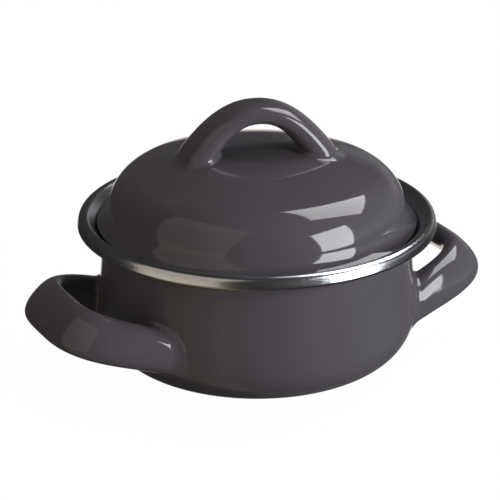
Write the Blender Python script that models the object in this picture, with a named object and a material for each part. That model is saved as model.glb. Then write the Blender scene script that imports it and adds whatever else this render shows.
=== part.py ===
"""Enamelled steel mini casserole dish with a domed, lift-off lid.

Drawn steel shells are turned from their sheet profiles, a stainless band is rolled over
the pot's folded lip, and hollow looped handles are welded on, each foot with its bead.
Metres, +Z up. The origin is the centre of the base, and the side handles lie along X.
"""
import math

import bmesh
import bpy
from mathutils import Matrix, Vector

MM = 0.001

# Shared by every piece
CLEARANCE = 0.3 * MM            # gap between pieces that touch
TURN_STEPS = 56                 # facets round a turned piece
SHARP_ANGLE = math.radians(40)  # edges sharper than this stay creased

# Stainless rim band, folded over the pot's lip
RIM_RADIUS = 62.8 * MM
RIM_TOP = 52.3 * MM             # height above the base
RIM_DROP = 4.5 * MM             # height of the band's outer face
RIM_LEAN = math.radians(12)     # the outer face leans out towards its lower edge
FLARE = math.radians(48)        # slope of the lip that the lid sits in
BAND_SHEET = 0.5 * MM
BAND_WIDTH = 8.5 * MM           # from the rim's edge to the band's edge inside the mouth
LIP_FOLD = 0.2 * MM             # inside radius of the pot's folded lip
CRIMP_BEND = 1.0 * MM           # outer radius where the band turns under the lip
CRIMP_LENGTH = 1.9 * MM         # how far the band reaches in under the lip

# Pot shell
POT_WALL = 1.2 * MM             # steel sheet with its enamel on both faces
RIM_OVERHANG = 8.2 * MM         # from the rim's edge to the neck, the narrowest part of the wall
WALL_SWELL = 1.4 * MM           # how much wider than the neck the wall gets lower down
BASE_CORNER = 16.3 * MM         # round between base and wall
NECK_COVE = 4.0 * MM            # hollow curve from the neck into the flared lip

# Lid shell
LID_WALL = 1.2 * MM
LID_INSET = 6.9 * MM            # from the rim's edge to the lid's edge, which rests in the flare
LID_COVE = 6.9 * MM             # hollow curve from the dome out to the edge
LID_DRAFT = math.radians(6)     # slope of the wall where dome and cove meet
LID_SPREAD = math.radians(65)   # slope of the cove at the lid's edge
LID_SHOULDER = 15.7 * MM        # round between wall and crown
LID_CROWN = 125.0 * MM          # radius of the shallow crown
LID_TURN = math.radians(-15.4)  # the loose lid lies turned this far from the side handles

# Side handles: flattened tubes bent into loops
HANDLE_DEPTH = 21.0 * MM        # from the pot's widest wall to the centreline of the grip
HANDLE_SPAN = 50.9 * MM         # between the centrelines of the two feet
GRIP_SPAN = 45.3 * MM           # the same for the two arms where they bend into the grip
HANDLE_BEND = 3.57              # squareness of the loop's plan, 2 is an ellipse
HANDLE_FOOT_HEIGHT = 19.0 * MM  # centre of the feet above the base
HANDLE_RISE = 8.9 * MM          # height gained from foot to grip
FOOT_THICKNESS = 14.0 * MM
FOOT_HEIGHT = 14.8 * MM
GRIP_THICKNESS = 7.6 * MM
GRIP_HEIGHT = 16.6 * MM
FOOT_LEAN = math.radians(1.1)   # section leans in at the feet
GRIP_LEAN = math.radians(44.5)  # and further at the grip
HANDLE_SHEET = 1.2 * MM

# Lid handle: an arched tube across the crown
ARCH_SPAN = 42.8 * MM           # between the centrelines of the two feet
ARCH_HEIGHT = 15.4 * MM         # centreline of the top above the feet
ARCH_FULLNESS = 2.2             # 2 is a parabola, more is squarer
ARCH_FOOT_WIDTH = 19.5 * MM
ARCH_FOOT_THICKNESS = 11.0 * MM
ARCH_TOP_WIDTH = 15.5 * MM
ARCH_TOP_THICKNESS = 7.6 * MM
ARCH_SHEET = 1.0 * MM

# Tubes and weld beads
SECTION_FULLNESS = 2.4          # squareness of the tubes' oval sections
TUBE_RINGS = 21
TUBE_SIDES = 14
WELD_LEG = 2.2 * MM             # reach of a bead up the tube and out on the shell
WELD_HOLLOW = 0.32              # where the bead's hollow face passes, 0.5 is flat

# The band's bead is as round as the sheets that it wraps allow, and touches its leaning face
LIP_DEPTH = BAND_SHEET + CLEARANCE
RIM_BEAD = LIP_DEPTH + POT_WALL + LIP_FOLD
RIM_BOTTOM = RIM_TOP - RIM_DROP
CRIMP_CENTRE = Vector((RIM_RADIUS - CRIMP_BEND, RIM_BOTTOM + CRIMP_BEND))
BEAD_HEIGHT = RIM_TOP - RIM_BEAD
BEAD_INSET = ((RIM_BEAD - CRIMP_BEND) / math.cos(RIM_LEAN)
              + (BEAD_HEIGHT - CRIMP_CENTRE.y) * math.tan(RIM_LEAN))
BEAD_CENTRE = Vector((CRIMP_CENTRE.x - BEAD_INSET, BEAD_HEIGHT))
SLOPE_NORMAL = Vector((-math.sin(FLARE), math.cos(FLARE)))
SLOPE_ANGLE = 90 + math.degrees(FLARE)
FACE_ANGLE = math.degrees(RIM_LEAN)

# Widths that follow from the rim's
NECK_RADIUS = RIM_RADIUS - RIM_OVERHANG
POT_RADIUS = NECK_RADIUS + WALL_SWELL


# Profiles in the plane of radius and height

def arc(centre, radius, start, end, steps):
    """Points round a centre, with the angles in degrees."""
    points = []
    for step in range(steps + 1):
        angle = math.radians(start + (end - start) * step / steps)
        points.append(Vector(centre) + radius * Vector((math.cos(angle), math.sin(angle))))
    return points


def offset(path, distance):
    """The path moved to the left of its direction, with mitred corners. Axis points stay on it."""
    moved = []
    for index, point in enumerate(path):
        normals = []
        for first, second in ((index - 1, index), (index, index + 1)):
            if first >= 0 and second < len(path):
                along = (path[second] - path[first]).normalized()
                normals.append(Vector((-along.y, along.x)))
        middle = sum(normals, Vector((0, 0))).normalized()
        moved.append(point + middle * distance / middle.dot(normals[0]))
        if point.x == 0:
            moved[-1].x = 0
    return moved


def flare_point(radius, depth):
    """Point of the rim's slope at a radius, on a line this deep under its visible face."""
    start = BEAD_CENTRE + SLOPE_NORMAL * (RIM_BEAD - depth)
    return Vector((radius, start.y - (start.x - radius) * math.tan(FLARE)))


NECK_END = flare_point(NECK_RADIUS + NECK_COVE * (1 - math.sin(FLARE)), LIP_DEPTH + POT_WALL)
NECK_HEIGHT = NECK_END.y - NECK_COVE * math.cos(FLARE)


def wall_radius(height):
    """Outer radius of the pot's wall, which narrows gently from its corner to the neck."""
    part = (height - BASE_CORNER) / (NECK_HEIGHT - BASE_CORNER)
    part = min(max(part, 0.0), 1.0)
    return POT_RADIUS + (NECK_RADIUS - POT_RADIUS) * part * part * (3 - 2 * part)


def pot_profile():
    """Outer face of the pot's sheet, from the middle of the base to the folded lip."""
    steps = 4
    heights = [BASE_CORNER + (NECK_HEIGHT - BASE_CORNER) * step / steps for step in range(1, steps)]
    fold = arc(BEAD_CENTRE, LIP_FOLD, SLOPE_ANGLE, FACE_ANGLE, 3)
    lip_bottom = RIM_BOTTOM + BAND_SHEET + CLEARANCE
    return ([Vector((0, 0))]
            + arc((POT_RADIUS - BASE_CORNER, BASE_CORNER), BASE_CORNER, -90, 0, 6)
            + [Vector((wall_radius(height), height)) for height in heights]
            + arc((NECK_RADIUS + NECK_COVE, NECK_HEIGHT), NECK_COVE, 180, SLOPE_ANGLE, 3)
            + fold
            + [Vector((fold[-1].x + (fold[-1].y - lip_bottom) * math.tan(RIM_LEAN), lip_bottom))])


def band_profile():
    """Visible face of the rim band, from inside the mouth to the crimp under the lip."""
    return ([flare_point(RIM_RADIUS - BAND_WIDTH, 0)]
            + arc(BEAD_CENTRE, RIM_BEAD, SLOPE_ANGLE, FACE_ANGLE, 5)
            + arc(CRIMP_CENTRE, CRIMP_BEND, FACE_ANGLE, -90, 4)
            + [Vector((RIM_RADIUS - CRIMP_LENGTH, RIM_BOTTOM))])


DRAFT_NORMAL = Vector((math.cos(LID_DRAFT), math.sin(LID_DRAFT)))
EDGE_NORMAL = Vector((math.cos(LID_SPREAD), math.sin(LID_SPREAD)))
LID_SEAT = flare_point(RIM_RADIUS - LID_INSET - LID_WALL * EDGE_NORMAL.x, -CLEARANCE)
COVE_CENTRE = LID_SEAT + EDGE_NORMAL * (LID_WALL + LID_COVE)
SHOULDER_CENTRE = COVE_CENTRE - DRAFT_NORMAL * (LID_COVE + LID_SHOULDER)
CROWN_CENTRE = (SHOULDER_CENTRE.y
                - math.sqrt((LID_CROWN - LID_SHOULDER) ** 2 - SHOULDER_CENTRE.x ** 2))


def lid_profile():
    """Outer face of the lid's sheet, from the middle of the crown to the edge."""
    lean = math.degrees(math.atan2(SHOULDER_CENTRE.y - CROWN_CENTRE, SHOULDER_CENTRE.x))
    draft = math.degrees(LID_DRAFT)
    crown = arc((0, CROWN_CENTRE), LID_CROWN, 90, lean, 4)
    crown[0].x = 0
    return (crown[:-1]
            + arc(SHOULDER_CENTRE, LID_SHOULDER, lean, draft, 6)
            + arc(COVE_CENTRE, LID_COVE, 180 + draft, 180 + math.degrees(LID_SPREAD), 4)[1:])


# How far a point lies outside the two shells

def pot_distance(point):
    radius = math.hypot(point.x, point.y)
    if point.z > BASE_CORNER:
        return radius - wall_radius(point.z)
    inner = POT_RADIUS - BASE_CORNER
    return math.hypot(radius - inner, point.z - BASE_CORNER) - BASE_CORNER


def lid_distance(point):
    return (point - Vector((0, 0, CROWN_CENTRE))).length - LID_CROWN


# Tubes: points by place along the tube from -1 to 1, by angle round it and by growth

def section_point(centre, across, upward, width, height, angle, growth):
    """Point on an oval section whose half sizes are enlarged by growth."""
    power = 2 / SECTION_FULLNESS
    side = math.copysign(abs(math.cos(angle)) ** power, math.cos(angle))
    rise = math.copysign(abs(math.sin(angle)) ** power, math.sin(angle))
    return centre + across * side * (width / 2 + growth) + upward * rise * (height / 2 + growth)


def between(foot, middle, part):
    return foot + (middle - foot) * part


def loop_centre(place):
    """Centreline of a side handle. Past its ends it runs straight on into the pot."""
    foot_x = math.sqrt(POT_RADIUS ** 2 - (HANDLE_SPAN / 2) ** 2)
    length = POT_RADIUS + HANDLE_DEPTH - foot_x
    angle = min(max(place, -1.0), 1.0) * math.pi / 2
    power = 2 / HANDLE_BEND
    out = abs(math.cos(angle)) ** power
    sideways = math.copysign(abs(math.sin(angle)) ** power, angle)
    run = out - max(abs(place) - 1.0, 0.0)
    return Vector((foot_x + length * run, sideways * between(HANDLE_SPAN, GRIP_SPAN, run) / 2,
                   HANDLE_FOOT_HEIGHT + HANDLE_RISE * run)), out


def loop_point(place, angle, growth):
    step = 0.01
    centre, out = loop_centre(place)
    along = (loop_centre(place + step)[0] - loop_centre(place - step)[0]).normalized()
    across = along.cross(Vector((0, 0, 1))).normalized()
    upward = across.cross(along)
    lean = Matrix.Rotation(-between(FOOT_LEAN, GRIP_LEAN, out), 3, along)
    return section_point(centre, lean @ across, lean @ upward,
                         between(FOOT_THICKNESS, GRIP_THICKNESS, out),
                         between(FOOT_HEIGHT, GRIP_HEIGHT, out), angle, growth)


def arch_centre(place):
    """Centreline of the lid handle, standing on the crown."""
    half = ARCH_SPAN / 2
    foot = CROWN_CENTRE + math.sqrt(LID_CROWN ** 2 - half ** 2)
    rise = 1 - abs(place) ** ARCH_FULLNESS
    return Vector((half * place, 0, foot + ARCH_HEIGHT * rise)), max(rise, 0.0)


def arch_point(place, angle, growth):
    step = 0.01
    centre, rise = arch_centre(place)
    along = (arch_centre(place + step)[0] - arch_centre(place - step)[0]).normalized()
    across = Vector((0, -1, 0))
    return section_point(centre, across, across.cross(along),
                         between(ARCH_FOOT_WIDTH, ARCH_TOP_WIDTH, rise),
                         between(ARCH_FOOT_THICKNESS, ARCH_TOP_THICKNESS, rise), angle, growth)


def landing(point_at, distance, end, angle, growth, gap):
    """Place along a tube where its side is this far from the shell, on one end of it."""
    outside = 0.0
    inside = 1.9 * end
    for _ in range(40):
        middle = (outside + inside) / 2
        if distance(point_at(middle, angle, growth)) > gap:
            outside = middle
        else:
            inside = middle
    return outside


# Meshes and objects

def material(name, color, roughness, metallic):
    made = bpy.data.materials.new(name)
    made.use_nodes = True
    shader = made.node_tree.nodes["Principled BSDF"]
    shader.inputs["Base Color"].default_value = (*color, 1)
    shader.inputs["Roughness"].default_value = roughness
    shader.inputs["Metallic"].default_value = metallic
    return made


def mesh_from(name, mesh_data):
    """Finish a bmesh: faces outward, smooth where it is round."""
    bmesh.ops.recalc_face_normals(mesh_data, faces=mesh_data.faces)
    mesh = bpy.data.meshes.new(name)
    mesh_data.to_mesh(mesh)
    mesh_data.free()
    mesh.shade_smooth()
    mesh.set_sharp_from_angle(angle=SHARP_ANGLE)
    return mesh


def turned(name, profile, sheet):
    """Turn a sheet profile about Z. The sheet lies on the side that its sign says."""
    outline = profile + offset(profile, sheet)[::-1]
    made = bmesh.new()
    verts = [made.verts.new((point.x, 0, point.y)) for point in outline]
    edges = [made.edges.new(pair) for pair in zip(verts, verts[1:])]
    if profile[0].x > 0:
        edges.append(made.edges.new((verts[-1], verts[0])))
    bmesh.ops.spin(made, geom=verts + edges, axis=(0, 0, 1), cent=(0, 0, 0),
                   angle=2 * math.pi, steps=TURN_STEPS)
    bmesh.ops.remove_doubles(made, verts=made.verts, dist=0.001 * MM)
    return mesh_from(name, made)


def skin(made, rows):
    """Bridge rows of points that each close on themselves, and return the rows' verts."""
    rings = [[made.verts.new(point) for point in row] for row in rows]
    for ring, following in zip(rings, rings[1:]):
        bridge(made, ring, following)
    return rings


def bridge(made, ring, following):
    for index in range(len(ring)):
        made.faces.new((ring[index - 1], ring[index], following[index], following[index - 1]))


def section_angles():
    return [2 * math.pi * side / TUBE_SIDES for side in range(TUBE_SIDES)]


def tube(name, point_at, distance, sheet):
    """Hollow tube whose two open ends are cut to the shell that they stand on."""
    made = bmesh.new()
    ends = []
    for growth in (0.0, -sheet):
        rows = [[] for _ in range(TUBE_RINGS)]
        for angle in section_angles():
            start = landing(point_at, distance, -1, angle, growth, CLEARANCE)
            stop = landing(point_at, distance, 1, angle, growth, CLEARANCE)
            for ring, row in enumerate(rows):
                place = between(start, stop, ring / (TUBE_RINGS - 1))
                row.append(point_at(place, angle, growth))
        rings = skin(made, rows)
        ends.append((rings[0], rings[-1]))
    for outer, inner in zip(*ends):
        bridge(made, outer, inner)
    return mesh_from(name, made)


def weld(name, point_at, distance, end):
    """Hollow-faced bead in the corner between a tube's foot and its shell."""
    hollow = between(CLEARANCE, WELD_LEG, WELD_HOLLOW)
    corners = ((CLEARANCE, CLEARANCE), (WELD_LEG, CLEARANCE), (hollow, hollow), (CLEARANCE, WELD_LEG))
    made = bmesh.new()
    rows = []
    for growth, gap in corners:
        rows.append([])
        for angle in section_angles():
            place = landing(point_at, distance, end, angle, growth, gap)
            rows[-1].append(point_at(place, angle, growth))
    rings = skin(made, rows)
    bridge(made, rings[-1], rings[0])
    return mesh_from(name, made)


def piece(name, mesh, finish, parent, turn=0.0):
    made = bpy.data.objects.new(name, mesh)
    bpy.context.scene.collection.objects.link(made)
    if not mesh.materials:
        mesh.materials.append(finish)
    made.parent = parent
    made.rotation_euler.z = turn
    return made


def group(name, turn):
    """Empty on the dish's axis, which carries the pieces that move together."""
    made = bpy.data.objects.new(name, None)
    bpy.context.scene.collection.objects.link(made)
    made.rotation_euler.z = turn
    return made


def build_pot():
    enamel = material("pot_enamel", (0.070, 0.065, 0.072), 0.12, 0.0)
    handle_enamel = material("handle_enamel", (0.070, 0.065, 0.072), 0.12, 0.0)
    weld_enamel = material("handle_weld_enamel", (0.070, 0.065, 0.072), 0.15, 0.0)
    steel = material("rim_steel", (0.60, 0.60, 0.59), 0.22, 1.0)
    pot = group("pot", 0.0)
    piece("pot_body", turned("pot_body", pot_profile(), POT_WALL), enamel, pot)
    piece("pot_rim_band", turned("pot_rim_band", band_profile(), -BAND_SHEET), steel, pot)
    loop = tube("side_handle", loop_point, pot_distance, HANDLE_SHEET)
    beads = {end: weld("side_handle_weld", loop_point, pot_distance, end) for end in (-1, 1)}
    for side, turn, front in (("right", 0.0, -1), ("left", math.pi, 1)):
        piece(side + "_handle", loop, handle_enamel, pot, turn)
        piece(side + "_handle_front_weld", beads[front], weld_enamel, pot, turn)
        piece(side + "_handle_back_weld", beads[-front], weld_enamel, pot, turn)


def build_lid():
    enamel = material("lid_enamel", (0.070, 0.065, 0.072), 0.12, 0.0)
    handle_enamel = material("lid_handle_enamel", (0.070, 0.065, 0.072), 0.12, 0.0)
    weld_enamel = material("lid_weld_enamel", (0.070, 0.065, 0.072), 0.15, 0.0)
    lid = group("lid", LID_TURN)
    piece("lid_shell", turned("lid_shell", lid_profile(), -LID_WALL), enamel, lid)
    piece("lid_handle", tube("lid_handle", arch_point, lid_distance, ARCH_SHEET), handle_enamel, lid)
    for side, end in (("left", -1), ("right", 1)):
        bead = weld("lid_handle_weld", arch_point, lid_distance, end)
        piece("lid_handle_" + side + "_weld", bead, weld_enamel, lid)


def main():
    for existing in list(bpy.data.objects):
        bpy.data.objects.remove(existing, do_unlink=True)
    build_pot()
    build_lid()
    bpy.context.view_layer.update()


main()
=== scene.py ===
"""Looks of the enamelled mini casserole dish.

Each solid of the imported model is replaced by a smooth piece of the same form: shells turned from
the same profiles, tubes on the same centrelines, and enamel fillets where the weld beads are.
"""
import math

import bmesh
import bpy
from mathutils import Matrix, Vector


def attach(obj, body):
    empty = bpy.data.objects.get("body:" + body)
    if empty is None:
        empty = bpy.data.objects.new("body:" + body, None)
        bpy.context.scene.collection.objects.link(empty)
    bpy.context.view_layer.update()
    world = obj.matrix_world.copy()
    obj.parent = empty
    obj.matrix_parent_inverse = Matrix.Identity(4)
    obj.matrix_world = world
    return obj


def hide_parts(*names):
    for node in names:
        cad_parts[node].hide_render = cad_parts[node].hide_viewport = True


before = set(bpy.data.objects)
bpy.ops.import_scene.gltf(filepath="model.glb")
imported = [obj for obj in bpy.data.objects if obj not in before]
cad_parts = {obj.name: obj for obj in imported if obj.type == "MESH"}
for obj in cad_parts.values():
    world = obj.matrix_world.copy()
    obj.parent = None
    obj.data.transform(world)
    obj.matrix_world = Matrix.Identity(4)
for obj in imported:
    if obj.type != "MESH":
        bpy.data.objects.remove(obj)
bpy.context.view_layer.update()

MM = 0.001

# Fineness of the smooth pieces
TURN_STEPS = 192                # round a turned piece
TUBE_RINGS = 97                 # along a tube
TUBE_SIDES = 64                 # round a tube
FILLET_STEPS = 12               # across a fillet
SHARP_ANGLE = math.radians(40)  # edges sharper than this stay creased
WELD_DISTANCE = 0.001 * MM      # points nearer than this become one
TANGENT_STEP = 0.01             # along a tube, for its direction
LANDING_REACH = 1.9             # place along a tube that is surely inside its shell
LANDING_HALVINGS = 40           # in the search for the place where they meet
SUNK = 0.6 * MM                 # how far hidden ends reach into the sheet that they stand on

# Sizes of the rim band. Like those of the pot, lid and handles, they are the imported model's
CLEARANCE = 0.3 * MM
RIM_RADIUS = 62.8 * MM
RIM_TOP = 52.3 * MM
RIM_DROP = 4.5 * MM
RIM_LEAN = math.radians(12)
FLARE = math.radians(48)
BAND_SHEET = 0.5 * MM
BAND_WIDTH = 8.5 * MM
LIP_FOLD = 0.2 * MM
CRIMP_BEND = 1.0 * MM
CRIMP_LENGTH = 1.9 * MM

# Sizes of the pot
POT_WALL = 1.2 * MM
RIM_OVERHANG = 8.2 * MM
WALL_SWELL = 1.4 * MM
BASE_CORNER = 16.3 * MM
NECK_COVE = 4.0 * MM

# Sizes of the lid
LID_WALL = 1.2 * MM
LID_INSET = 6.9 * MM
LID_COVE = 6.9 * MM
LID_DRAFT = math.radians(6)
LID_SPREAD = math.radians(65)
LID_SHOULDER = 15.7 * MM
LID_CROWN = 125.0 * MM
LID_TURN = math.radians(-15.4)

# Sizes of the side handles
HANDLE_DEPTH = 21.0 * MM
HANDLE_SPAN = 50.9 * MM
GRIP_SPAN = 45.3 * MM
HANDLE_BEND = 3.57              # squareness of the loop, 2 is an ellipse
HANDLE_FOOT_HEIGHT = 19.0 * MM
HANDLE_RISE = 8.9 * MM
FOOT_THICKNESS = 14.0 * MM
FOOT_HEIGHT = 14.8 * MM
GRIP_THICKNESS = 7.6 * MM
GRIP_HEIGHT = 16.6 * MM
FOOT_LEAN = math.radians(1.1)
GRIP_LEAN = math.radians(44.5)

# Sizes of the lid handle
ARCH_SPAN = 42.8 * MM
ARCH_HEIGHT = 15.4 * MM
ARCH_FULLNESS = 2.2             # squareness of the arch, 2 is a parabola
ARCH_FOOT_WIDTH = 19.5 * MM
ARCH_FOOT_THICKNESS = 11.0 * MM
ARCH_TOP_WIDTH = 15.5 * MM
ARCH_TOP_THICKNESS = 7.6 * MM

# Section of all three tubes
SECTION_FULLNESS = 2.4          # squareness of the oval, 2 is an ellipse

# Enamel fillets at the feet
SIDE_FILLET = 2.4 * MM
LID_FILLET = 2.0 * MM

# Camera, with its picture and focal length in pixels
IMAGE_SIZE = 500
FOCAL_PIXELS = 2270.4
CAMERA_DISTANCE = 800 * MM
CAMERA_AZIMUTH = math.radians(-26.83)
CAMERA_ELEVATION = math.radians(21.88)
AIM_HEIGHT = 37.3 * MM
AIM_LEFT = 2.42 * MM

# The band's bead is as round as the sheets that it wraps allow, and touches its leaning face
LIP_DEPTH = BAND_SHEET + CLEARANCE
RIM_BEAD = LIP_DEPTH + POT_WALL + LIP_FOLD
RIM_BOTTOM = RIM_TOP - RIM_DROP
CRIMP_CENTRE = Vector((RIM_RADIUS - CRIMP_BEND, RIM_BOTTOM + CRIMP_BEND))
BEAD_HEIGHT = RIM_TOP - RIM_BEAD
BEAD_INSET = ((RIM_BEAD - CRIMP_BEND) / math.cos(RIM_LEAN)
              + (BEAD_HEIGHT - CRIMP_CENTRE.y) * math.tan(RIM_LEAN))
BEAD_CENTRE = Vector((CRIMP_CENTRE.x - BEAD_INSET, BEAD_HEIGHT))
SLOPE_NORMAL = Vector((-math.sin(FLARE), math.cos(FLARE)))
SLOPE_ANGLE = 90 + math.degrees(FLARE)
FACE_ANGLE = math.degrees(RIM_LEAN)

# Widths that follow from the rim's
NECK_RADIUS = RIM_RADIUS - RIM_OVERHANG
POT_RADIUS = NECK_RADIUS + WALL_SWELL


def between(first, second, part):
    """Value that lies this part of the way from the first to the second."""
    return first + (second - first) * part


# Profiles in the plane of radius and height

def arc(centre, radius, start, end, steps):
    """Points round a centre, with the angles in degrees."""
    points = []
    for step in range(steps + 1):
        angle = math.radians(start + (end - start) * step / steps)
        points.append(Vector(centre) + radius * Vector((math.cos(angle), math.sin(angle))))
    return points


def offset(path, distance):
    """The path moved to the left of its direction, with mitred corners. Axis points stay on it."""
    moved = []
    for index, point in enumerate(path):
        normals = []
        for first, second in ((index - 1, index), (index, index + 1)):
            if first >= 0 and second < len(path):
                along = (path[second] - path[first]).normalized()
                normals.append(Vector((-along.y, along.x)))
        middle = sum(normals, Vector((0, 0))).normalized()
        moved.append(point + middle * distance / middle.dot(normals[0]))
        if point.x == 0:
            moved[-1].x = 0
    return moved


def flare_point(radius, depth):
    """Point of the rim's slope at a radius, on a line this deep under its visible face."""
    start = BEAD_CENTRE + SLOPE_NORMAL * (RIM_BEAD - depth)
    return Vector((radius, start.y - (start.x - radius) * math.tan(FLARE)))


NECK_END = flare_point(NECK_RADIUS + NECK_COVE * (1 - math.sin(FLARE)), LIP_DEPTH + POT_WALL)
NECK_HEIGHT = NECK_END.y - NECK_COVE * math.cos(FLARE)


def wall_radius(height):
    """Outer radius of the pot's wall, which narrows gently from its corner to the neck."""
    part = (height - BASE_CORNER) / (NECK_HEIGHT - BASE_CORNER)
    part = min(max(part, 0.0), 1.0)
    return POT_RADIUS + (NECK_RADIUS - POT_RADIUS) * part * part * (3 - 2 * part)


def pot_profile():
    """Outer face of the pot's sheet, from the middle of the base to the folded lip."""
    steps = 32
    heights = [between(BASE_CORNER, NECK_HEIGHT, step / steps) for step in range(1, steps)]
    fold = arc(BEAD_CENTRE, LIP_FOLD, SLOPE_ANGLE, FACE_ANGLE, steps=6)
    lip_bottom = RIM_BOTTOM + BAND_SHEET + CLEARANCE
    return ([Vector((0, 0))]
            + arc((POT_RADIUS - BASE_CORNER, BASE_CORNER), BASE_CORNER, -90, 0, steps=32)
            + [Vector((wall_radius(height), height)) for height in heights]
            + arc((NECK_RADIUS + NECK_COVE, NECK_HEIGHT), NECK_COVE, 180, SLOPE_ANGLE, steps=12)
            + fold
            + [Vector((fold[-1].x + (fold[-1].y - lip_bottom) * math.tan(RIM_LEAN), lip_bottom))])


def band_profile():
    """Visible face of the rim band, from inside the mouth to the crimp under the lip."""
    return ([flare_point(RIM_RADIUS - BAND_WIDTH, 0)]
            + arc(BEAD_CENTRE, RIM_BEAD, SLOPE_ANGLE, FACE_ANGLE, steps=24)
            + arc(CRIMP_CENTRE, CRIMP_BEND, FACE_ANGLE, -90, steps=12)
            + [Vector((RIM_RADIUS - CRIMP_LENGTH, RIM_BOTTOM))])


DRAFT_NORMAL = Vector((math.cos(LID_DRAFT), math.sin(LID_DRAFT)))
EDGE_NORMAL = Vector((math.cos(LID_SPREAD), math.sin(LID_SPREAD)))
LID_SEAT = flare_point(RIM_RADIUS - LID_INSET - LID_WALL * EDGE_NORMAL.x, -CLEARANCE)
COVE_CENTRE = LID_SEAT + EDGE_NORMAL * (LID_WALL + LID_COVE)
SHOULDER_CENTRE = COVE_CENTRE - DRAFT_NORMAL * (LID_COVE + LID_SHOULDER)
CROWN_CENTRE = (SHOULDER_CENTRE.y
                - math.sqrt((LID_CROWN - LID_SHOULDER) ** 2 - SHOULDER_CENTRE.x ** 2))


def lid_profile():
    """Outer face of the lid's sheet, from the middle of the crown to the edge."""
    lean = math.degrees(math.atan2(SHOULDER_CENTRE.y - CROWN_CENTRE, SHOULDER_CENTRE.x))
    draft = math.degrees(LID_DRAFT)
    edge = math.degrees(LID_SPREAD)
    crown = arc((0, CROWN_CENTRE), LID_CROWN, 90, lean, steps=30)
    crown[0].x = 0
    return (crown[:-1]
            + arc(SHOULDER_CENTRE, LID_SHOULDER, lean, draft, steps=32)
            + arc(COVE_CENTRE, LID_COVE, 180 + draft, 180 + edge, steps=20)[1:])


# How far a point lies outside the two shells

def pot_distance(point):
    """Distance from the pot's wall and its rounded corner."""
    radius = math.hypot(point.x, point.y)
    if point.z > BASE_CORNER:
        return radius - wall_radius(point.z)
    inner = POT_RADIUS - BASE_CORNER
    return math.hypot(radius - inner, point.z - BASE_CORNER) - BASE_CORNER


def lid_distance(point):
    """Distance from the lid's crown."""
    return (point - Vector((0, 0, CROWN_CENTRE))).length - LID_CROWN


# Tubes: points by place along the tube from -1 to 1, by angle round it and by growth

def section_point(centre, across, upward, width, height, angle, growth):
    """Point on an oval section whose half sizes are enlarged by growth."""
    power = 2 / SECTION_FULLNESS
    side = math.copysign(abs(math.cos(angle)) ** power, math.cos(angle))
    rise = math.copysign(abs(math.sin(angle)) ** power, math.sin(angle))
    return centre + across * side * (width / 2 + growth) + upward * rise * (height / 2 + growth)


def tangent(centre_at, place):
    """Direction of a centreline at a place along it."""
    before, _ = centre_at(place - TANGENT_STEP)
    after, _ = centre_at(place + TANGENT_STEP)
    return (after - before).normalized()


def loop_centre(place):
    """Centreline of a side handle, and how far out it is. Past its ends it runs on into the pot."""
    foot_x = math.sqrt(POT_RADIUS ** 2 - (HANDLE_SPAN / 2) ** 2)
    length = POT_RADIUS + HANDLE_DEPTH - foot_x
    angle = min(max(place, -1.0), 1.0) * math.pi / 2
    power = 2 / HANDLE_BEND
    out = abs(math.cos(angle)) ** power
    sideways = math.copysign(abs(math.sin(angle)) ** power, angle)
    run = out - max(abs(place) - 1.0, 0.0)
    return Vector((foot_x + length * run, sideways * between(HANDLE_SPAN, GRIP_SPAN, run) / 2,
                   HANDLE_FOOT_HEIGHT + HANDLE_RISE * run)), out


def loop_point(place, angle, growth):
    """Point on a side handle, whose section leans outward on the grip."""
    centre, out = loop_centre(place)
    along = tangent(loop_centre, place)
    across = along.cross(Vector((0, 0, 1))).normalized()
    upward = across.cross(along)
    lean = Matrix.Rotation(-between(FOOT_LEAN, GRIP_LEAN, out), 3, along)
    return section_point(centre, lean @ across, lean @ upward,
                         between(FOOT_THICKNESS, GRIP_THICKNESS, out),
                         between(FOOT_HEIGHT, GRIP_HEIGHT, out), angle, growth)


def arch_centre(place):
    """Centreline of the lid handle, standing on the crown, and how far up it is."""
    half = ARCH_SPAN / 2
    foot = CROWN_CENTRE + math.sqrt(LID_CROWN ** 2 - half ** 2)
    rise = 1 - abs(place) ** ARCH_FULLNESS
    return Vector((half * place, 0, foot + ARCH_HEIGHT * rise)), max(rise, 0.0)


def arch_point(place, angle, growth):
    """Point on the lid handle, whose section stays square to its centreline."""
    centre, rise = arch_centre(place)
    along = tangent(arch_centre, place)
    across = Vector((0, -1, 0))
    return section_point(centre, across, across.cross(along),
                         between(ARCH_FOOT_WIDTH, ARCH_TOP_WIDTH, rise),
                         between(ARCH_FOOT_THICKNESS, ARCH_TOP_THICKNESS, rise), angle, growth)


def landing(point_at, distance, end, angle, growth, gap):
    """Place along a tube where its side is this far from the shell, on one end of it."""
    outside = 0.0
    inside = LANDING_REACH * end
    for _ in range(LANDING_HALVINGS):
        middle = (outside + inside) / 2
        if distance(point_at(middle, angle, growth)) > gap:
            outside = middle
        else:
            inside = middle
    return outside


# Meshes

def mesh_from(name, mesh_data):
    """Finish a bmesh: faces outward, smooth where it is round."""
    bmesh.ops.recalc_face_normals(mesh_data, faces=mesh_data.faces)
    mesh = bpy.data.meshes.new(name)
    mesh_data.to_mesh(mesh)
    mesh_data.free()
    mesh.shade_smooth()
    mesh.set_sharp_from_angle(angle=SHARP_ANGLE)
    return mesh


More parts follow.
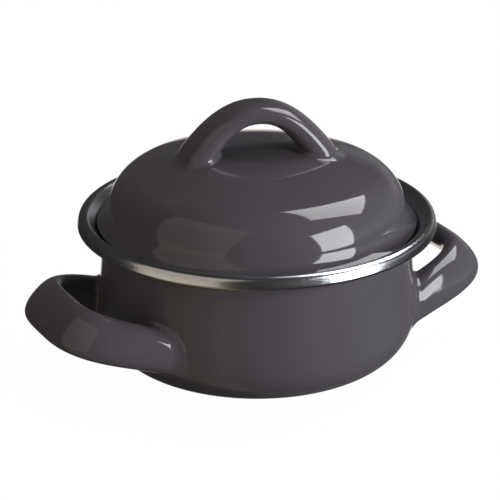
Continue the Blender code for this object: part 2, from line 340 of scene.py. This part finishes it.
def turned(name, profile, sheet):
    """Turn a sheet profile about Z. The sheet lies on the side that its sign says."""
    outline = profile + offset(profile, sheet)[::-1]
    made = bmesh.new()
    verts = [made.verts.new((point.x, 0, point.y)) for point in outline]
    edges = [made.edges.new(pair) for pair in zip(verts, verts[1:])]
    if profile[0].x > 0:
        edges.append(made.edges.new((verts[-1], verts[0])))
    bmesh.ops.spin(made, geom=verts + edges, axis=(0, 0, 1), cent=(0, 0, 0),
                   angle=2 * math.pi, steps=TURN_STEPS)
    bmesh.ops.remove_doubles(made, verts=made.verts, dist=WELD_DISTANCE)
    return mesh_from(name, made)


def bridge(made, ring, following):
    """Join two rings by a band of faces."""
    for index in range(len(ring)):
        made.faces.new((ring[index - 1], ring[index], following[index], following[index - 1]))


def skin(made, rows):
    """Bridge rows of points that each close on themselves, and return the rows' verts."""
    rings = [[made.verts.new(point) for point in row] for row in rows]
    for ring, following in zip(rings, rings[1:]):
        bridge(made, ring, following)
    return rings


def section_angles():
    """Angles round a tube's section."""
    return [2 * math.pi * side / TUBE_SIDES for side in range(TUBE_SIDES)]


def tube(name, point_at, distance):
    """Tube whose two ends reach a little into the shell that they stand on."""
    made = bmesh.new()
    rows = [[] for _ in range(TUBE_RINGS)]
    for angle in section_angles():
        start = landing(point_at, distance, -1, angle, 0.0, -SUNK)
        stop = landing(point_at, distance, 1, angle, 0.0, -SUNK)
        for ring, row in enumerate(rows):
            row.append(point_at(between(start, stop, ring / (TUBE_RINGS - 1)), angle, 0.0))
    rings = skin(made, rows)
    made.faces.new(rings[0])
    made.faces.new(rings[-1])
    return mesh_from(name, made)


def fillet(name, point_at, distance, end, radius):
    """Hollow ring of enamel that runs smoothly from a tube's foot out on to its shell."""
    section = [(-SUNK, -SUNK)]
    for step in range(FILLET_STEPS + 1):
        angle = math.pi / 2 * step / FILLET_STEPS
        section.append((radius * (1 - math.cos(angle)), radius * (1 - math.sin(angle))))
    made = bmesh.new()
    rows = []
    for growth, gap in section:
        rows.append([])
        for angle in section_angles():
            place = landing(point_at, distance, end, angle, growth, gap)
            rows[-1].append(point_at(place, angle, growth))
    rings = skin(made, rows)
    bridge(made, rings[-1], rings[0])
    return mesh_from(name, made)


# Materials

def add_node(tree, kind, values):
    """New node with its unlinked inputs set."""
    node = tree.nodes.new(kind)
    for name, value in values.items():
        node.inputs[name].default_value = value
    return node


def new_material(name):
    """New material, with its node tree and its shader."""
    made = bpy.data.materials.new(name)
    made.use_nodes = True
    return made, made.node_tree, made.node_tree.nodes["Principled BSDF"]


def noise(tree, vector, scale, detail):
    """Noise with this many waves to the metre."""
    node = add_node(tree, "ShaderNodeTexNoise", {"Scale": scale, "Detail": detail, "Roughness": 0.5})
    tree.links.new(vector, node.inputs["Vector"])
    return node.outputs["Fac"]


def spread(tree, value, low, high):
    """The middle of a noise's range, stretched from low to high."""
    node = add_node(tree, "ShaderNodeMapRange", {"From Min": 0.3, "From Max": 0.7,
                                                 "To Min": low, "To Max": high})
    tree.links.new(value, node.inputs["Value"])
    return node.outputs["Result"]


def mixed(tree, part, first, second):
    """Mix of two colours, or of a colour and what a socket gives."""
    node = tree.nodes.new("ShaderNodeMix")
    node.data_type = "RGBA"
    tree.links.new(part, node.inputs["Factor"])
    for name, value in (("A", first), ("B", second)):
        socket = next(s for s in node.inputs if s.name == name and s.type == "RGBA")
        if isinstance(value, tuple):
            socket.default_value = (*value, 1)
        else:
            tree.links.new(value, socket)
    return next(s for s in node.outputs if s.type == "RGBA")


def calculated(tree, operation, first, second):
    """What a math node makes of a socket and of another socket or a number."""
    node = tree.nodes.new("ShaderNodeMath")
    node.operation = operation
    tree.links.new(first, node.inputs[0])
    if isinstance(second, float):
        node.inputs[1].default_value = second
    else:
        tree.links.new(second, node.inputs[1])
    return node.outputs["Value"]


def bump(tree, height, distance, below=None):
    """Normal of a surface that rises by up to this distance, on top of another normal."""
    node = add_node(tree, "ShaderNodeBump", {"Distance": distance, "Strength": 1.0})
    tree.links.new(height, node.inputs["Height"])
    if below:
        tree.links.new(below, node.inputs["Normal"])
    return node.outputs["Normal"]


ENAMEL = (0.079, 0.0735, 0.085)
ENAMEL_THIN = (0.086, 0.080, 0.092)
ENAMEL_GRAIN = (0.063, 0.0585, 0.067)
ENAMEL_IOR = 1.52


def enamel(name):
    """Glossy vitreous enamel: faint clouds and pigment grain, with the slight waves of fired glass."""
    made, tree, shader = new_material(name)
    place = tree.nodes.new("ShaderNodeTexCoord").outputs["Object"]
    clouds = spread(tree, noise(tree, place, scale=38, detail=4), low=0.0, high=1.0)
    grain = spread(tree, noise(tree, place, scale=2600, detail=1), low=0.0, high=0.22)
    gloss = spread(tree, noise(tree, place, scale=90, detail=3), low=0.045, high=0.085)
    color = mixed(tree, grain, mixed(tree, clouds, ENAMEL, ENAMEL_THIN), ENAMEL_GRAIN)
    tree.links.new(color, shader.inputs["Base Color"])
    tree.links.new(gloss, shader.inputs["Roughness"])
    waves = bump(tree, noise(tree, place, scale=55, detail=1), distance=0.04 * MM)
    peel = bump(tree, noise(tree, place, scale=420, detail=2), distance=0.006 * MM, below=waves)
    tree.links.new(peel, shader.inputs["Normal"])
    shader.inputs["IOR"].default_value = ENAMEL_IOR
    return made


STEEL_DARK = (0.62, 0.645, 0.67)
STEEL_LIGHT = (0.75, 0.775, 0.80)
GRAIN_STRETCH = 4 * MM          # of the grain's pattern for each radian round the rim


def steel(name):
    """Stainless sheet with fine grain that runs round the rim."""
    made, tree, shader = new_material(name)
    place = tree.nodes.new("ShaderNodeTexCoord").outputs["Object"]
    split = tree.nodes.new("ShaderNodeSeparateXYZ")
    tree.links.new(place, split.inputs["Vector"])
    turn = calculated(tree, "ARCTAN2", split.outputs["Y"], split.outputs["X"])
    length = tree.nodes.new("ShaderNodeVectorMath")
    length.operation = "LENGTH"
    tree.links.new(place, length.inputs[0])
    grain_place = tree.nodes.new("ShaderNodeCombineXYZ")
    tree.links.new(calculated(tree, "MULTIPLY", turn, GRAIN_STRETCH), grain_place.inputs["X"])
    tree.links.new(split.outputs["Z"], grain_place.inputs["Y"])
    tree.links.new(length.outputs["Value"], grain_place.inputs["Z"])
    streaks = noise(tree, grain_place.outputs["Vector"], scale=7000, detail=2)
    sparkle = noise(tree, place, scale=1500, detail=2)
    color = mixed(tree, spread(tree, streaks, low=0.0, high=1.0), STEEL_DARK, STEEL_LIGHT)
    gloss = spread(tree, streaks, low=0.16, high=0.24)
    tree.links.new(color, shader.inputs["Base Color"])
    tree.links.new(gloss, shader.inputs["Roughness"])
    fine = bump(tree, streaks, distance=0.004 * MM)
    rough = bump(tree, sparkle, distance=0.008 * MM, below=fine)
    tree.links.new(rough, shader.inputs["Normal"])
    shader.inputs["Metallic"].default_value = 1.0
    return made


# Pieces

def piece(name, mesh, finish, body, nodes, turn=0.0):
    """Put a piece on its body, in place of the nodes that it stands for."""
    mesh = mesh.copy()
    mesh.name = name
    mesh.transform(Matrix.Rotation(turn, 4, "Z"))
    mesh.materials.append(finish)
    made = bpy.data.objects.new(name, mesh)
    bpy.context.scene.collection.objects.link(made)
    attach(made, body)
    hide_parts(nodes)


def dress_pot():
    """Pot, rim band, side handles and the fillets at their feet."""
    coat = enamel("pot_enamel")
    fillet_coat = enamel("handle_fillet_enamel")
    piece("pot_shell", turned("pot_shell", pot_profile(), POT_WALL), coat, "pot", "pot_body")
    piece("rim_steel_band", turned("rim_steel_band", band_profile(), -BAND_SHEET),
          steel("rim_stainless"), "pot", "pot_rim_band")
    loop = tube("side_handle_loop", loop_point, pot_distance)
    fillets = {end: fillet("side_handle_fillet", loop_point, pot_distance, end, SIDE_FILLET)
               for end in (-1, 1)}
    for side, turn, front in (("right", 0.0, -1), ("left", math.pi, 1)):
        handle = side + "_handle"
        piece(handle + "_loop", loop, coat, "pot", handle, turn)
        for foot, end in (("front", front), ("back", -front)):
            piece(handle + "_" + foot + "_fillet", fillets[end], fillet_coat, "pot",
                  handle + "_" + foot + "_weld", turn)


def dress_lid():
    """Lid, its handle and the fillets at its feet."""
    coat = enamel("lid_enamel")
    fillet_coat = enamel("lid_fillet_enamel")
    piece("lid_dome", turned("lid_dome", lid_profile(), -LID_WALL), coat, "lid",
          "lid_shell", LID_TURN)
    piece("lid_handle_arch", tube("lid_handle_arch", arch_point, lid_distance), coat,
          "lid", "lid_handle", LID_TURN)
    for side, end in (("left", -1), ("right", 1)):
        piece("lid_handle_" + side + "_fillet",
              fillet("lid_handle_fillet", arch_point, lid_distance, end, LID_FILLET),
              fillet_coat, "lid", "lid_handle_" + side + "_weld", LID_TURN)


# Studio

def direction(azimuth, elevation):
    """Direction by degrees to the right of the camera's side and above the floor."""
    turn = CAMERA_AZIMUTH + math.radians(azimuth)
    flat = math.cos(math.radians(elevation))
    return Vector((math.sin(turn) * flat, -math.cos(turn) * flat, math.sin(math.radians(elevation))))


def add_camera():
    """Camera of the photograph."""
    back = direction(0, math.degrees(CAMERA_ELEVATION))
    right = direction(90, 0)
    data = bpy.data.cameras.new("photo_camera")
    data.sensor_width = 36
    data.lens = FOCAL_PIXELS * data.sensor_width / IMAGE_SIZE
    camera = bpy.data.objects.new("photo_camera", data)
    bpy.context.scene.collection.objects.link(camera)
    camera.location = Vector((0, 0, AIM_HEIGHT)) - right * AIM_LEFT + back * CAMERA_DISTANCE
    camera.rotation_euler = (-back).to_track_quat("-Z", "Y").to_euler()
    bpy.context.scene.camera = camera


COOL = (0.98, 0.975, 1.02)
WHITE = (1.0, 0.985, 1.0)
WARM = (1.0, 0.875, 0.75)


def softbox(name, azimuth, elevation, size, radiance, color, centre=(0, 0), roll=0):
    """Rectangular lamp in the plane that faces the dish from a direction, one metre away."""
    data = bpy.data.lights.new(name, "AREA")
    data.shape = "RECTANGLE"
    data.size, data.size_y = size
    data.energy = radiance * math.pi * data.size * data.size_y
    data.color = color
    lamp = bpy.data.objects.new(name, data)
    bpy.context.scene.collection.objects.link(lamp)
    away = direction(azimuth, elevation)
    right = direction(azimuth + 90, 0)
    lamp.location = (Vector((0, 0, AIM_HEIGHT)) + away + right * centre[0]
                     + away.cross(right) * centre[1])
    facing = away.to_track_quat("Z", "Y").to_matrix()
    lamp.rotation_euler = (facing @ Matrix.Rotation(math.radians(roll), 3, "Z")).to_euler()
    lamp.visible_camera = False
    return lamp


def add_lights():
    """Lamps, whose light and mirror images are set apart, and a warm card on the left."""
    lights = [softbox("right_light", azimuth=63, elevation=11, size=(0.53, 0.5), radiance=13.6, color=COOL),
              softbox("top_light", azimuth=145, elevation=65, size=(0.6, 0.6), radiance=3.9, color=WHITE),
              softbox("back_light", azimuth=188, elevation=5, size=(0.9, 0.4), radiance=6.0, color=WHITE)]
    for light in lights:
        light.visible_glossy = False
    images = [softbox("right_softbox", azimuth=63, elevation=20, size=(0.53, 0.75), radiance=9.4,
                      color=COOL, centre=(-0.04, -0.115)),
              softbox("upper_softbox", azimuth=118, elevation=55, size=(0.60, 0.62), radiance=5.8,
                      color=WHITE, roll=9)]
    for image in images:
        image.visible_diffuse = False
    softbox("left_card", azimuth=-50, elevation=25, size=(1.16, 1.50), radiance=0.43, color=WARM,
            centre=(0.0, -0.05))


# White sweep behind the dish, with its half angles where the camera's line of sight meets it
SWEEP_CORE = math.radians(12)
SWEEP_EDGE = math.radians(18)
SWEEP_COLOR = (1.0, 0.93, 0.85)

# What else the dish mirrors, and the light that comes from all round
FRONT_COLOR = (0.035, 0.033, 0.03)
BROWN_CARD = (0.25, 0.205, 0.12)
AMBIENT_LOW = (0.41, 0.352, 0.29)
AMBIENT_HIGH = (0.05, 0.05, 0.05)


def grey(tone):
    """Colour without a hue."""
    return (tone, tone, tone)


def ring_of_colors(tree, turn, stops):
    """Colours round the horizon, by degrees to the right of the camera's side."""
    ramp = tree.nodes.new("ShaderNodeValToRGB")
    elements = ramp.color_ramp.elements
    while len(elements) < len(stops):
        elements.new(0.5)
    for element, (azimuth, color) in zip(elements, sorted(stops)):
        element.position = azimuth / 360
        element.color = (*color, 1)
    tree.links.new(turn, ramp.inputs["Fac"])
    return ramp.outputs["Color"]


def climb(tree, ray, low, high):
    """From zero to one as a ray's upward part grows from low to high."""
    split = tree.nodes.new("ShaderNodeSeparateXYZ")
    tree.links.new(ray, split.inputs["Vector"])
    node = add_node(tree, "ShaderNodeMapRange", {"From Min": low, "From Max": high})
    tree.links.new(split.outputs["Z"], node.inputs["Value"])
    return node.outputs["Result"]


def surroundings(tree, ray):
    """What mirror images show round the dish: a white sweep low behind it in a dark studio."""
    mapping = add_node(tree, "ShaderNodeMapping", {"Rotation": (0, 0, -CAMERA_AZIMUTH - math.pi / 2)})
    tree.links.new(ray, mapping.inputs["Vector"])
    turn = tree.nodes.new("ShaderNodeTexGradient")
    turn.gradient_type = "RADIAL"
    tree.links.new(mapping.outputs["Vector"], turn.inputs["Vector"])
    below = ring_of_colors(tree, turn.outputs["Fac"], [
        (0, FRONT_COLOR), (60, grey(0.03)), (130, grey(0.03)), (150, grey(0.10)), (165, grey(0.10)),
        (180, grey(0.04)), (225, grey(0.02)), (280, grey(0.03)), (296, BROWN_CARD), (338, BROWN_CARD),
        (345, FRONT_COLOR)])
    level = ring_of_colors(tree, turn.outputs["Fac"], [
        (0, grey(0.03)), (38, grey(0.10)), (85, (0.42, 0.42, 0.44)), (110, (0.22, 0.22, 0.23)),
        (130, grey(0.06)), (148, grey(0.28)), (165, grey(0.28)), (178, grey(0.05)), (225, grey(0.02)),
        (265, grey(0.04)), (345, grey(0.03))])
    above = grey(0.03)
    studio = mixed(tree, climb(tree, ray, low=-0.10, high=0.02), below, level)
    studio = mixed(tree, climb(tree, ray, low=0.12, high=0.30), studio, above)
    facing = tree.nodes.new("ShaderNodeVectorMath")
    facing.operation = "DOT_PRODUCT"
    facing.inputs[1].default_value = direction(180, -math.degrees(CAMERA_ELEVATION))
    tree.links.new(ray, facing.inputs[0])
    sweep = add_node(tree, "ShaderNodeMapRange", {"From Min": math.cos(SWEEP_EDGE),
                                                  "From Max": math.cos(SWEEP_CORE)})
    tree.links.new(facing.outputs["Value"], sweep.inputs["Value"])
    return mixed(tree, sweep.outputs["Result"], studio, SWEEP_COLOR)


def add_world():
    """White to the camera. Mirror images show the studio, and other rays get a soft warm light."""
    world = bpy.data.worlds.new("studio_world")
    bpy.context.scene.world = world
    world.use_nodes = True
    tree = world.node_tree
    path = tree.nodes.new("ShaderNodeLightPath")
    ray = tree.nodes.new("ShaderNodeTexCoord").outputs["Generated"]
    ambient = mixed(tree, climb(tree, ray, low=0.1, high=0.7), AMBIENT_LOW, AMBIENT_HIGH)
    lit = mixed(tree, path.outputs["Is Glossy Ray"], ambient, surroundings(tree, ray))
    color = mixed(tree, path.outputs["Is Camera Ray"], lit, grey(1.0))
    tree.links.new(color, tree.nodes["Background"].inputs["Color"])


FLOOR_HALF_WIDTH = 3.0
FLOOR_GAP = 0.2 * MM            # under the dish
FLOOR_TONE = 0.45
FLOOR_GLOW = 1.06
GLOW_SHARE = 0.93               # of what the camera sees. The rest shows the dish's shadow


def floor_white():
    """White to the camera but for a faint shadow, and missing from mirror images."""
    made, tree, shader = new_material("floor_white")
    shader.inputs["Base Color"].default_value = (*grey(FLOOR_TONE), 1)
    shader.inputs["Roughness"].default_value = 0.9
    glow = add_node(tree, "ShaderNodeEmission", {"Color": (1, 1, 1, 1), "Strength": FLOOR_GLOW})
    path = tree.nodes.new("ShaderNodeLightPath")
    share = calculated(tree, "MULTIPLY", path.outputs["Is Camera Ray"], GLOW_SHARE)
    seen = tree.nodes.new("ShaderNodeMixShader")
    tree.links.new(share, seen.inputs["Fac"])
    tree.links.new(shader.outputs["BSDF"], seen.inputs[1])
    tree.links.new(glow.outputs["Emission"], seen.inputs[2])
    through = tree.nodes.new("ShaderNodeBsdfTransparent")
    mirrored = tree.nodes.new("ShaderNodeMixShader")
    tree.links.new(path.outputs["Is Glossy Ray"], mirrored.inputs["Fac"])
    tree.links.new(seen.outputs["Shader"], mirrored.inputs[1])
    tree.links.new(through.outputs["BSDF"], mirrored.inputs[2])
    tree.links.new(mirrored.outputs["Shader"], tree.nodes["Material Output"].inputs["Surface"])
    return made


def add_floor():
    """Wide floor just under the dish."""
    made = bmesh.new()
    bmesh.ops.create_grid(made, x_segments=1, y_segments=1, size=FLOOR_HALF_WIDTH)
    floor = bpy.data.objects.new("floor", mesh_from("floor", made))
    floor.location.z = -FLOOR_GAP
    bpy.context.scene.collection.objects.link(floor)
    floor.data.materials.append(floor_white())


bpy.context.scene.view_settings.view_transform = "Standard"
add_camera()
dress_pot()
dress_lid()
add_lights()
add_world()
add_floor()
